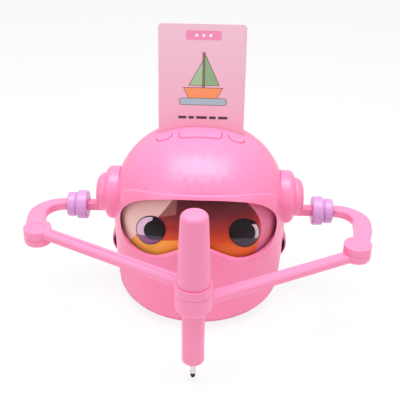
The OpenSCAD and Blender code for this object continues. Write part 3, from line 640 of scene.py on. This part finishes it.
class ROBOT_OT_arms(Operator):
    """Round the arms, elbows, collars and pen holder"""

    bl_idname = "robot.arms"
    bl_label = "Arms"

    def execute(self, context):
        look = context.scene.robot_finishes
        pink = moulded_plastic("Pink arm plastic", look.arm_pink, look.gloss)
        lilac = moulded_plastic("Lilac collar plastic", look.collar_lilac, look.gloss)
        for side in ("left", "right"):
            softened("upper_arm_" + side, pink, 0.0012, 4)
            softened("forearm_" + side, pink, 0.0004, 2)
            softened("elbow_pin_" + side, pink, 0.0002, 2)
            softened("collar_" + side, lilac, 0.0004, 3, 25)
        for part in ("pen_cap", "pen_barrel"):
            softened(part, pink, 0.0004, 3, 25)
        return {"FINISHED"}


class ROBOT_OT_goggles(Operator):
    """Finish the clear lens, the printed panel behind it with its painted reflections, and the
    pupils
    """

    bl_idname = "robot.goggles"
    bl_label = "Goggles"

    def execute(self, context):
        lens, shader = new_material("Clear lens")
        shader.inputs["Base Color"].default_value = (0.98, 0.93, 0.92, 1)
        shader.inputs["Transmission Weight"].default_value = 1
        shader.inputs["Roughness"].default_value = 0.02
        shader.inputs["IOR"].default_value = 1.1
        tree = lens.node_tree
        ripple = tree.nodes.new("ShaderNodeTexNoise")
        ripple.inputs["Scale"].default_value = 60
        place = tree.nodes.new("ShaderNodeTexCoord")
        tree.links.new(place.outputs["Object"], ripple.inputs["Vector"])
        bump = tree.nodes.new("ShaderNodeBump")
        bump.inputs["Strength"].default_value = 0.02
        bump.inputs["Distance"].default_value = GRAIN_DEPTH
        tree.links.new(ripple.outputs["Fac"], bump.inputs["Height"])
        tree.links.new(bump.outputs["Normal"], shader.inputs["Normal"])
        visor = curved_sheet("Visor_lens", LENS_FRONT, LENS_THICK, panel_points, LENS_RISE)
        seat_piece(visor, "visor_lens", lens)
        panel = curved_sheet("Eye_panel", PANEL_FRONT, PANEL_THICK, panel_points, PANEL_RISE)
        seat_piece(panel, "eye_panel", panel_print_and_reflections())
        for side, way in (("left", -1), ("right", 1)):
            shape = lambda: pupil_points(way)
            pupil = curved_sheet("Pupil_" + side, PUPIL_FRONT, PUPIL_THICK, shape)
            seat_piece(pupil, "pupil_" + side, pupil_print(side, way))
        return {"FINISHED"}


def panel_points():
    """Grid of (turn in degrees, height) that fills the goggles, and its faces."""
    columns, rows = 78, 30
    across = columns + 1
    points = [
        (-PANEL_TURN + 2 * PANEL_TURN * c / columns, PANEL_FOOT + PANEL_TALL * r / rows)
        for r in range(rows + 1)
        for c in range(across)
    ]
    faces = []
    for r in range(rows):
        for c in range(columns):
            low, high = r * across + c, (r + 1) * across + c
            faces.append((low, low + 1, high + 1, high))
    return points, faces


def pupil_points(way):
    """Rings of (turn, height) round the middle of a pupil, and their faces."""
    rings, spokes = 8, 64
    points = [(way * PUPIL_TURN, PUPIL_HEIGHT)]
    for ring in range(1, rings + 1):
        for spoke in range(spokes):
            angle = 2 * math.pi * spoke / spokes
            across = PUPIL_WIDE * ring / rings * math.cos(angle)
            up = PUPIL_HIGH * ring / rings * math.sin(angle)
            turn = way * (PUPIL_TURN + math.degrees(across / PANEL_RADIUS))
            points.append((turn, PUPIL_HEIGHT + up - PUPIL_SKEW * across))
    faces = [(0, 1 + k, 1 + (k + 1) % spokes) for k in range(spokes)]
    for ring in range(rings - 1):
        for k in range(spokes):
            low, high = 1 + ring * spokes, 1 + (ring + 1) * spokes
            n = (k + 1) % spokes
            faces.append((low + k, high + k, high + n, low + n))
    return points, faces


def curved_sheet(name, proud, thick, outline, rise=0.0):
    """Sheet that follows the body's front at a depth, with its thickness behind.

    Past RISE_START degrees of turn the sheet comes forward by the rise, in millimetres.
    """
    points, faces = outline()
    verts = []
    for turn, height in points:
        share = min(1.0, max(0.0, (abs(turn) - RISE_START) / RISE_OVER))
        radius = skin_radius(height, proud + rise * share)
        angle = math.radians(turn)
        verts.append((radius * math.sin(angle) * MM, -radius * math.cos(angle) * MM, height * MM))
    mesh = bpy.data.meshes.new(name)
    mesh.from_pydata(verts, [], faces)
    piece = bpy.data.objects.new(name, mesh)
    bpy.context.scene.collection.objects.link(piece)
    deselect()
    piece.select_set(True)
    bpy.context.view_layer.objects.active = piece
    if sum(face.normal.y for face in mesh.polygons) > 0:
        mesh.flip_normals()
    wall = piece.modifiers.new("Thickness", "SOLIDIFY")
    wall.thickness = thick * MM
    wall.offset = -1
    bpy.ops.object.modifier_apply(modifier=wall.name)
    bpy.ops.object.shade_smooth_by_angle(angle=math.radians(35))
    return piece


def panel_print_and_reflections():
    """Print behind the lens: dusk colours from maroon to amber, with a pale glare and a pink
    crescent that are partly printed and partly painted reflections.
    """
    material, shader = new_material("Goggle print")
    tree = material.node_tree
    x, y, z = places(material)
    turn = x.math("ARCTAN2", -y) * (180 / math.pi)
    dusk = ramp(
        tree,
        z,
        (
            (70, srgb(236, 112, 30)),
            (76, srgb(214, 74, 26)),
            (84, srgb(165, 34, 34)),
            (94, srgb(105, 18, 38)),
            (106, srgb(78, 14, 34)),
        ),
    )
    # Amber band at the foot, yellower towards the left
    warmth = ramp(
        tree,
        turn,
        (
            (-60, srgb(255, 196, 96)),
            (-25, srgb(254, 182, 70)),
            (5, srgb(246, 132, 40)),
            (50, srgb(240, 92, 30)),
        ),
    )
    crest = (turn + 12.0).size() * -0.245 + 76.5
    colour = paint(tree, dusk, warmth, (crest - z).inside(0.4))
    # Pale glare at the upper left, with a thinner part as far as its straight right edge: partly
    # printed, partly a painted reflection of a softbox
    slope_low = (turn + 28.5) * 1.1 + 90.4
    slope_high = (turn + 28.5) * 1.5 + 90.4
    thin = (z - ((turn + 30.0) * 0.35 + 90.0)).least((turn + 15.5) * -1.5)
    colour = paint(tree, colour, srgb(176, 118, 112), thin.inside(0.6) * 0.6)
    glare = (z - slope_low.most(slope_high)).least((turn + 15.5) * -1.0)
    pale_stops = (
        (60, srgb(252, 226, 214)),
        (88, srgb(246, 214, 208)),
        (106, srgb(238, 196, 200)),
    )
    pale = ramp(tree, z, pale_stops)
    colour = paint(tree, colour, pale, glare.inside(0.5))
    # Pink crescent at the right: partly printed, partly a painted reflection in the lens
    bend = (z - 76.0) * (z - 76.0) * 0.019
    crescent = (turn - 49.5 + bend).least((turn - 66.0 + bend * 0.7) * -1.0)
    colour = paint(tree, colour, srgb(240, 130, 172), crescent.inside(1.0))
    # Fine upright lines of the lens sheet
    lines = (turn * 9.0).math("SINE") * 0.5 + 0.5
    colour = paint(tree, colour, srgb(255, 214, 200), lines * 0.07)
    tree.links.new(colour, shader.inputs["Base Color"])
    shader.inputs["Roughness"].default_value = 0.5
    shader.inputs["Specular IOR Level"].default_value = 0.05
    return material


def pupil_print(side, way):
    """Black pupil with a lilac crescent on its outer side and a dusky lower part."""
    material, shader = new_material("Pupil print " + side)
    tree = material.node_tree
    x, y, z = places(material)
    turn = x.math("ARCTAN2", -y) * (180 / math.pi)
    across = (turn - way * PUPIL_TURN) * (PANEL_RADIUS * math.pi / 180 * way)
    up = z - PUPIL_HEIGHT + across * PUPIL_SKEW
    across = across * (PUPIL_HIGH / PUPIL_WIDE)

    def disc(cx, cy, radius):
        """Positive inside a disc."""
        dx = across - cx
        dy = up - cy
        return (dx * dx + dy * dy).power(0.5) * -1.0 + radius

    black = srgb(24, 20, 26)
    lilac = srgb(226, 202, 232)
    dusk = srgb(150, 92, 150) if way < 0 else srgb(82, 62, 92)
    slate = srgb(70, 74, 84)
    rim = disc(0, 0, 10.7)
    # The left pupil's lilac crescent is printed and drawn wider; the extra width is a painted
    # reflection of the glare over it
    inner = disc(-3.6, 0.2, 8.0) if way < 0 else disc(-1.8, 0.0, 9.4)
    glint = rim.least(inner * -1.0)
    if way > 0:
        glint = glint.least(up.size() * -1.0 + 7.0)
    colour = paint(tree, black, lilac, glint.least(across + 2.0).inside(0.3))
    lower = rim.least((up + 4.2) * -1.0)
    colour = paint(tree, colour, dusk, lower.inside(0.3))
    colour = paint(tree, colour, slate, lower.least(inner).least(up + 7.2).inside(0.3))
    tree.links.new(colour, shader.inputs["Base Color"])
    shader.inputs["Roughness"].default_value = 0.5
    shader.inputs["Specular IOR Level"].default_value = 0.1
    return material


class ROBOT_OT_card(Operator):
    """Print the flash card"""

    bl_idname = "robot.card"
    bl_label = "Flash card"

    def execute(self, context):
        dress("flash_card", card_print())
        return {"FINISHED"}


def card_print():
    """Pink card with a label, a small outlined sailing boat and a row of bars."""
    material, shader = new_material("Card print")
    tree = material.node_tree
    x, y, z = places(material)
    lean = math.radians(CARD_LEAN)
    up = (z - CARD_FOOT) * math.cos(lean) + (y - CARD_PLANE) * math.sin(lean)
    out = (z - CARD_FOOT) * math.sin(lean) - (y - CARD_PLANE) * math.cos(lean)

    def box(cx, cy, half_w, half_h, corner=0.0):
        """Positive inside a rounded box."""
        dx = ((x - cx).size() - (half_w - corner)).most(0.0)
        dy = ((up - cy).size() - (half_h - corner)).most(0.0)
        inner = ((x - cx).size() - half_w).most((up - cy).size() - half_h) * -1.0
        if corner == 0:
            return inner
        return ((dx * dx + dy * dy).power(0.5) - corner) * -1.0

    def half(ax, ay, bx, by):
        """Positive on the left of the line from a to b."""
        length = math.hypot(bx - ax, by - ay)
        nx, ny = -(by - ay) / length, (bx - ax) / length
        return (x - ax) * nx + (up - ay) * ny

    def shape(points):
        """Positive inside a convex outline given anticlockwise."""
        field = None
        for (ax, ay), (bx, by) in zip(points, points[1:] + points[:1]):
            side = half(ax, ay, bx, by)
            field = side if field is None else field.least(side)
        return field

    sheet = ramp(tree, up, ((10, srgb(238, 178, 200)), (88, srgb(236, 192, 208))))
    colour = sheet
    outline = srgb(92, 78, 84)
    # Label with three plain dots
    colour = paint(tree, colour, srgb(240, 140, 182), box(0.9, 80.0, 12.6, 3.4, 1.2).inside(0.2))
    for cx in (-4.1, 0.9, 5.9):
        dx, dy = x - cx, up - 80.0
        dot = (dx * dx + dy * dy).power(0.5) * -1.0 + 1.1
        colour = paint(tree, colour, srgb(252, 238, 244), dot.inside(0.2))
    # Sailing boat: two sails, a mast, a hull and a strip of water
    main_sail = shape([(2.2, 44.0), (12.5, 44.0), (2.2, 66.0)])
    jib = shape([(-9.0, 44.0), (0.4, 44.0), (0.4, 61.0)])
    hull = shape([(-9.0, 33.5), (10.5, 33.5), (15.0, 41.8), (-13.0, 41.8)])
    mast = box(1.3, 53.0, 0.6, 14.5)
    water = box(1.0, 31.6, 17.0, 2.3, 1.6)
    for field, fill in (
        (mast, srgb(150, 110, 96)),
        (main_sail, srgb(136, 176, 128)),
        (jib, srgb(160, 196, 150)),
        (hull, srgb(246, 150, 96)),
        (water, srgb(166, 190, 200)),
    ):
        colour = paint(tree, colour, outline, (field + 0.45).inside(0.25))
        colour = paint(tree, colour, fill, field.inside(0.25))
    # Row of dark bars in place of a caption
    start = -17.0
    for length in (6.0, 4.0, 8.0, 5.0, 7.0):
        bar = box(start + length / 2, 19.5, length / 2, 1.05, 0.6)
        colour = paint(tree, colour, srgb(72, 44, 58), bar.inside(0.2))
        start += length + 1.6
    # Plain back of the card with a pale frame
    back = (out * -1.0).inside(0.1)
    frame_line = box(0.0, 44.0, 28.0, 40.5, 2.0)
    plain = paint(tree, srgb(240, 176, 200), srgb(250, 224, 234), frame_line.inside(0.3))
    plain = paint(tree, plain, srgb(240, 176, 200), (frame_line - 1.2).inside(0.3))
    colour = paint(tree, colour, plain, back)
    tree.links.new(colour, shader.inputs["Base Color"])
    shader.inputs["Roughness"].default_value = 0.42
    shader.inputs["Coat Weight"].default_value = 0.15
    return material


class ROBOT_OT_pen(Operator):
    """Finish the marker in the pen holder"""

    bl_idname = "robot.pen"
    bl_label = "Marker"

    def execute(self, context):
        dress("marker_body", moulded_plastic("Marker body plastic", srgb(236, 236, 236), 0.35))
        dress("nib_sleeve", moulded_plastic("Nib sleeve plastic", srgb(240, 240, 240), 0.3))
        felt = moulded_plastic("Felt nib", srgb(26, 26, 28), 0.85, 0.3, grain_scale=5000.0)
        dress("nib_tip", felt)
        return {"FINISHED"}


class ROBOT_OT_inside(Operator):
    """Finish the feet, the screws and the parts inside the body"""

    bl_idname = "robot.inside"
    bl_label = "Feet and inside"

    def execute(self, context):
        finishes = {
            "foot_pads": ("Foot rubber", (52, 52, 54), 0.8),
            "shell_screws": ("Screw steel", (186, 188, 190), 0.35),
            "main_board": ("Board mask", (22, 92, 54), 0.45),
            "battery_pack": ("Battery sleeve", (60, 96, 170), 0.4),
            "speaker": ("Speaker black", (44, 44, 48), 0.6),
            "card_reader": ("Board mask", (22, 92, 54), 0.45),
            "arm_chassis": ("White chassis plastic", (228, 228, 230), 0.5),
            "motor_left": ("Motor steel", (176, 178, 180), 0.4),
            "motor_right": ("Motor steel", (176, 178, 180), 0.4),
            "charge_port": ("Socket steel", (168, 170, 172), 0.35),
            "power_switch": ("White switch plastic", (232, 232, 234), 0.45),
            "button_board": ("Board mask", (22, 92, 54), 0.45),
            "motor_pinion_left": ("Pinion brass", (206, 168, 84), 0.35),
            "motor_pinion_right": ("Pinion brass", (206, 168, 84), 0.35),
            "drive_gear_left": ("Gear acetal", (232, 230, 216), 0.5),
            "drive_gear_right": ("Gear acetal", (232, 230, 216), 0.5),
        }
        for node, (name, colour, rough) in finishes.items():
            material = moulded_plastic(name, srgb(*colour), rough)
            shader = material.node_tree.nodes["Principled BSDF"]
            if "steel" in name or "brass" in name:
                shader.inputs["Metallic"].default_value = 1.0
            dress(node, material)
        return {"FINISHED"}


class ROBOT_OT_stage(Operator):
    """Set the floor, the lamps and the camera"""

    bl_idname = "robot.stage"
    bl_label = "Stage"

    def execute(self, context):
        studio = context.scene.robot_studio
        add_floor()
        add_world()
        add_lamps()
        add_camera(studio)
        return {"FINISHED"}


def deselect():
    """Nothing selected and nothing active."""
    if context_mode() != "OBJECT":
        bpy.ops.object.mode_set(mode="OBJECT")
    bpy.ops.object.select_all(action="DESELECT")


def context_mode():
    """Mode that the active object is in."""
    active = bpy.context.view_layer.objects.active
    return active.mode if active else "OBJECT"


def add_floor():
    """Pale floor that shows white to the camera away from the robot and keeps its shadow."""
    deselect()
    bpy.ops.mesh.primitive_plane_add(size=FLOOR_SIZE, location=(0, 1.0, -FLOOR_DROP))
    floor = bpy.context.object
    floor.name = "Studio_floor"
    bpy.ops.object.transform_apply(location=True, rotation=True, scale=True)
    material, shader = new_material("Pale floor")
    shader.inputs["Base Color"].default_value = (0.93, 0.92, 0.92, 1)
    shader.inputs["Roughness"].default_value = 0.9
    shader.inputs["Specular IOR Level"].default_value = 0.1
    whiten_to_camera(material, shader, FLOOR_WHITE)
    floor.data.materials.append(material)


def whiten_to_camera(material, shader, share):
    """Lets the camera see a surface mostly white, while it still takes its shadows."""
    nodes, links = material.node_tree.nodes, material.node_tree.links
    glow = nodes.new("ShaderNodeEmission")
    glow.inputs["Strength"].default_value = 1.0
    rays = nodes.new("ShaderNodeLightPath")
    amount = nodes.new("ShaderNodeMath")
    amount.operation = "MULTIPLY"
    amount.inputs[1].default_value = share
    links.new(rays.outputs["Is Camera Ray"], amount.inputs[0])
    mix = nodes.new("ShaderNodeMixShader")
    links.new(amount.outputs[0], mix.inputs["Fac"])
    links.new(shader.outputs["BSDF"], mix.inputs[1])
    links.new(glow.outputs["Emission"], mix.inputs[2])
    links.new(mix.outputs[0], nodes["Material Output"].inputs["Surface"])


def add_world():
    """Plain surroundings: fill light, brighter where the camera or a reflection sees them."""
    world = bpy.data.worlds.new("Studio white")
    bpy.context.scene.world = world
    world.use_nodes = True
    nodes, links = world.node_tree.nodes, world.node_tree.links
    nodes.clear()
    output = nodes.new("ShaderNodeOutputWorld")
    fill = nodes.new("ShaderNodeBackground")
    fill.inputs["Strength"].default_value = FILL
    fill.inputs["Color"].default_value = (1, 1, 1, 1)
    seen = nodes.new("ShaderNodeBackground")
    seen.inputs["Strength"].default_value = 1.0
    mix = nodes.new("ShaderNodeMixShader")
    rays = nodes.new("ShaderNodeLightPath")
    either = nodes.new("ShaderNodeMath")
    either.operation = "MAXIMUM"
    links.new(rays.outputs["Is Camera Ray"], either.inputs[0])
    links.new(rays.outputs["Is Glossy Ray"], either.inputs[1])
    links.new(either.outputs[0], mix.inputs["Fac"])
    links.new(fill.outputs[0], mix.inputs[1])
    links.new(seen.outputs[0], mix.inputs[2])
    links.new(mix.outputs[0], output.inputs["Surface"])


def add_lamp(name, place, aim, size, power):
    """Soft lamp of a width and depth at a place, aimed at a point."""
    deselect()
    bpy.ops.object.light_add(type="AREA", location=place)
    lamp = bpy.context.object
    lamp.name = name
    lamp.data.shape = "RECTANGLE"
    lamp.data.size, lamp.data.size_y = size
    lamp.data.energy = power
    direction = Vector(aim) - Vector(place)
    lamp.rotation_euler = direction.to_track_quat("-Z", "Y").to_euler()
    return lamp


def add_lamps():
    """Large key above, a softer lamp from the left front and a weak one from the right."""
    add_lamp("Top_softbox", (0.0, -0.06, 0.95), LAMP_AIM, (0.95, 0.5), 10.2)
    add_lamp("Left_softbox", (-0.7, -0.6, 0.5), LAMP_AIM, (0.5, 0.5), 1.3)
    add_lamp("Right_softbox", (0.8, -0.5, 0.4), LAMP_AIM, (0.5, 0.5), 0.9)


def add_camera(studio):
    """Camera at the height, turn and framing of the product view."""
    deselect()
    turn = math.radians(studio.camera_turn)
    rise = math.radians(studio.camera_rise)
    away = studio.camera_away
    place = Vector(
        (
            away * math.cos(rise) * math.sin(turn),
            -away * math.cos(rise) * math.cos(turn),
            away * math.sin(rise) + CAMERA_CENTRE,
        )
    )
    aim = Vector(CAMERA_AIM)
    forward = (aim - place).normalized()
    right = forward.cross(Vector((0, 0, 1))).normalized()
    up = right.cross(forward)
    roll = math.radians(studio.camera_roll)
    right_rolled = right * math.cos(roll) + up * math.sin(roll)
    up_rolled = up * math.cos(roll) - right * math.sin(roll)
    bpy.ops.object.camera_add(location=place + Vector(CAMERA_SHIFT))
    camera = bpy.context.object
    camera.name = "Product_camera"
    basis = Matrix((right_rolled, up_rolled, -forward)).transposed()
    camera.rotation_euler = basis.to_euler()
    camera.data.sensor_width = 36
    camera.data.lens = studio.lens
    camera.data.clip_start = 0.01
    bpy.context.scene.camera = camera
    bpy.context.scene.view_settings.view_transform = "Standard"


class ROBOT_PT_dresser(Panel):
    """Lists the steps that dress the robot"""

    bl_label = "Drawing Robot"
    bl_space_type = "VIEW_3D"
    bl_region_type = "UI"
    bl_category = "Drawing Robot"

    def draw(self, context):
        for step in STEPS:
            self.layout.operator(step.bl_idname)


STEPS = (
    ROBOT_OT_stage,
    ROBOT_OT_housing,
    ROBOT_OT_arms,
    ROBOT_OT_goggles,
    ROBOT_OT_card,
    ROBOT_OT_pen,
    ROBOT_OT_inside,
)
CLASSES = (RobotFinishes, StudioSettings, *STEPS, ROBOT_PT_dresser)


def register():
    for cls in CLASSES:
        bpy.utils.register_class(cls)
    bpy.types.Scene.robot_finishes = PointerProperty(type=RobotFinishes)
    bpy.types.Scene.robot_studio = PointerProperty(type=StudioSettings)


def unregister():
    del bpy.types.Scene.robot_studio
    del bpy.types.Scene.robot_finishes
    for cls in reversed(CLASSES):
        bpy.utils.unregister_class(cls)


def main():
    """Registers the add-on and runs its steps in order."""
    register()
    for step in STEPS:
        area, name = step.bl_idname.split(".")
        getattr(getattr(bpy.ops, area), name)()


if __name__ == "__main__":
    main()
